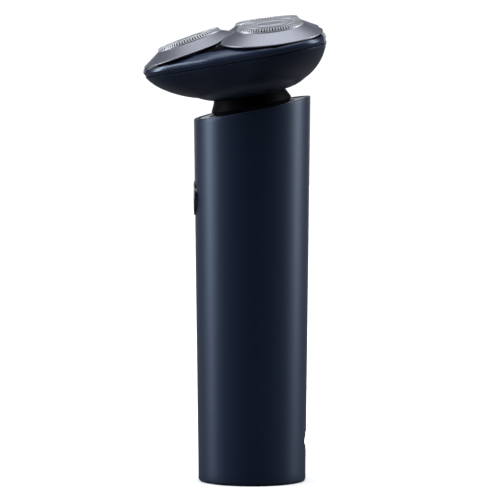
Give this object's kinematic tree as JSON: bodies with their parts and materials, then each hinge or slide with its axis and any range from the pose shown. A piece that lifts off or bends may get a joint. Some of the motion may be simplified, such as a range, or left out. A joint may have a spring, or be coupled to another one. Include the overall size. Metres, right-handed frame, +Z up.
{
  "type": "electric shaver",
  "caption": "Rotary electric shaver: slim round handle with a sloping top, press button and charging port, and a tilted head whose round cutting units sit in metal petals.",
  "frame": {"origin": "centre of the flat base that the handle stands on", "axes": "+Z up the handle, -Y to the front with the power button, +X to the object's left-hand side seen from the front"},
  "size_m": [0.0682, 0.064, 0.1622],
  "materials": {
    "casing": "satin",
    "black_plastic": "satin",
    "rubber_black": "matte",
    "deck_gloss": "gloss",
    "magnet": "plated",
    "white_plastic": "matte",
    "screw_steel": "plain",
    "motor_steel": "plated",
    "copper": "wound",
    "gear_plastic": "matte",
    "cell_wrap": "shrink wrap",
    "nickel": "plated",
    "board_green": "lacquered",
    "light_pipe": "clear",
    "black_gloss": "gloss",
    "button_metal": "satin",
    "bowl_navy": "satin",
    "bezel_gloss": "gloss",
    "petal_metal": "metallic",
    "foil_steel": "polished",
    "cap_metal": "spun",
    "cutter_steel": "ground"
  },
  "bodies": {
    "handle": {"outer_casing": "casing", "base_cap": "black_plastic", "base_seal": "rubber_black", "top_deck": "deck_gloss", "deck_seal": "rubber_black", "deck_magnets": "magnet", "chassis_front": "white_plastic", "chassis_back": "white_plastic", "chassis_screws": "screw_steel", "motor_mount": "screw_steel", "motor_screws": "screw_steel", "motor_can": "motor_steel", "motor_end_cap": "black_plastic", "shaft_seal": "rubber_black", "battery_cell": "cell_wrap", "battery_tabs": "nickel", "main_board": "board_green", "board_screws": "screw_steel", "switch_body": "black_plastic", "charge_light": "light_pipe", "charge_board": "board_green", "charge_socket": "nickel", "port_gasket": "rubber_black", "button_ring": "black_gloss", "button_gasket": "rubber_black"},
    "power_button": {"power_button": "button_metal", "switch_plunger": "white_plastic"},
    "motor_drive": {"motor_rotor": "copper", "motor_shaft": "screw_steel", "drive_coupler": "gear_plastic"},
    "head": {"neck_skirt": "black_plastic", "head_magnets": "magnet", "bowl": "bowl_navy", "gear_plate": "gear_plastic", "gear_cover": "gear_plastic", "head_screws": "screw_steel", "spindle_seals": "rubber_black"},
    "central_gear": {"central_gear": "gear_plastic"},
    "bezel": {"bezel_ring": "bezel_gloss", "petal_frame": "black_plastic", "hub_cap": "black_gloss"},
    "spindle_front": {"spindle_front": "gear_plastic"},
    "unit_front": {"petal_front": "petal_metal", "foil_front": "foil_steel", "foil_cap_front": "cap_metal", "spring_front": "screw_steel"},
    "cutter_front": {"cutter_front": "cutter_steel"},
    "spindle_right": {"spindle_right": "gear_plastic"},
    "unit_right": {"petal_right": "petal_metal", "foil_right": "foil_steel", "foil_cap_right": "cap_metal", "spring_right": "screw_steel"},
    "cutter_right": {"cutter_right": "cutter_steel"},
    "spindle_left": {"spindle_left": "gear_plastic"},
    "unit_left": {"petal_left": "petal_metal", "foil_left": "foil_steel", "foil_cap_left": "cap_metal", "spring_left": "screw_steel"},
    "cutter_left": {"cutter_left": "cutter_steel"}
  },
  "joints": [
    {"name": "power_button_press", "type": "slide", "parent": "handle", "child": "power_button", "axis": [0, 1, 0], "range_m": [0, 0.00045], "stiffness_N_per_m": 1200, "springref_m": -0.0004},
    {"name": "motor_spin", "type": "hinge", "parent": "handle", "child": "motor_drive", "pos_m": [0, 0.00186, 0.13087], "axis": [0, -0.1959, 0.9806], "continuous": true},
    {"name": "head_pull_off", "type": "slide", "parent": "handle", "child": "head", "axis": [0, -0.1959, 0.9806], "range_m": [0, 0.012]},
    {"name": "central_gear_spin", "type": "hinge", "parent": "head", "child": "central_gear", "pos_m": [0, -0.0001, 0.14068], "axis": [0, -0.1959, 0.9806], "continuous": true},
    {"name": "bezel_lift_off", "type": "slide", "parent": "head", "child": "bezel", "axis": [0, -0.1959, 0.9806], "range_m": [0, 0.01]},
    {"name": "spindle_front_spin", "type": "hinge", "parent": "head", "child": "spindle_front", "pos_m": [0, -0.01895, 0.14201], "axis": [0, -0.1959, 0.9806], "continuous": true},
    {"name": "unit_front_float", "type": "slide", "parent": "bezel", "child": "unit_front", "axis": [0, 0.3371, -0.9415], "range_m": [0, 0.0005], "stiffness_N_per_m": 900, "springref_m": -0.0006, "deforming": ["spring_front"]},
    {"name": "cutter_front_spin", "type": "hinge", "parent": "unit_front", "child": "cutter_front", "pos_m": [0, -0.0222, 0.15482], "axis": [0, -0.3371, 0.9415], "continuous": true},
    {"name": "spindle_right_spin", "type": "hinge", "parent": "head", "child": "spindle_right", "pos_m": [0.01579, 0.00786, 0.14737], "axis": [0, -0.1959, 0.9806], "continuous": true},
    {"name": "unit_right_float", "type": "slide", "parent": "bezel", "child": "unit_right", "axis": [-0.1265, 0.1222, -0.9844], "range_m": [0, 0.0005], "stiffness_N_per_m": 900, "springref_m": -0.0006, "deforming": ["spring_right"]},
    {"name": "cutter_right_spin", "type": "hinge", "parent": "unit_right", "child": "cutter_right", "pos_m": [0.01637, 0.0056, 0.16038], "axis": [0.1265, -0.1222, 0.9844], "continuous": true},
    {"name": "spindle_left_spin", "type": "hinge", "parent": "head", "child": "spindle_left", "pos_m": [-0.01579, 0.00786, 0.14737], "axis": [0, -0.1959, 0.9806], "continuous": true},
    {"name": "unit_left_float", "type": "slide", "parent": "bezel", "child": "unit_left", "axis": [0.1265, 0.1222, -0.9844], "range_m": [0, 0.0005], "stiffness_N_per_m": 900, "springref_m": -0.0006, "deforming": ["spring_left"]},
    {"name": "cutter_left_spin", "type": "hinge", "parent": "unit_left", "child": "cutter_left", "pos_m": [-0.01637, 0.0056, 0.16038], "axis": [-0.1265, -0.1222, 0.9844], "continuous": true}
  ],
  "couplings": [
    {"joint": "central_gear_spin", "follows": "motor_spin", "ratio": 1},
    {"joint": "spindle_front_spin", "follows": "motor_spin", "ratio": -0.75},
    {"joint": "cutter_front_spin", "follows": "motor_spin", "ratio": -0.75},
    {"joint": "spindle_right_spin", "follows": "motor_spin", "ratio": -0.75},
    {"joint": "cutter_right_spin", "follows": "motor_spin", "ratio": -0.75},
    {"joint": "spindle_left_spin", "follows": "motor_spin", "ratio": -0.75},
    {"joint": "cutter_left_spin", "follows": "motor_spin", "ratio": -0.75}
  ]
}
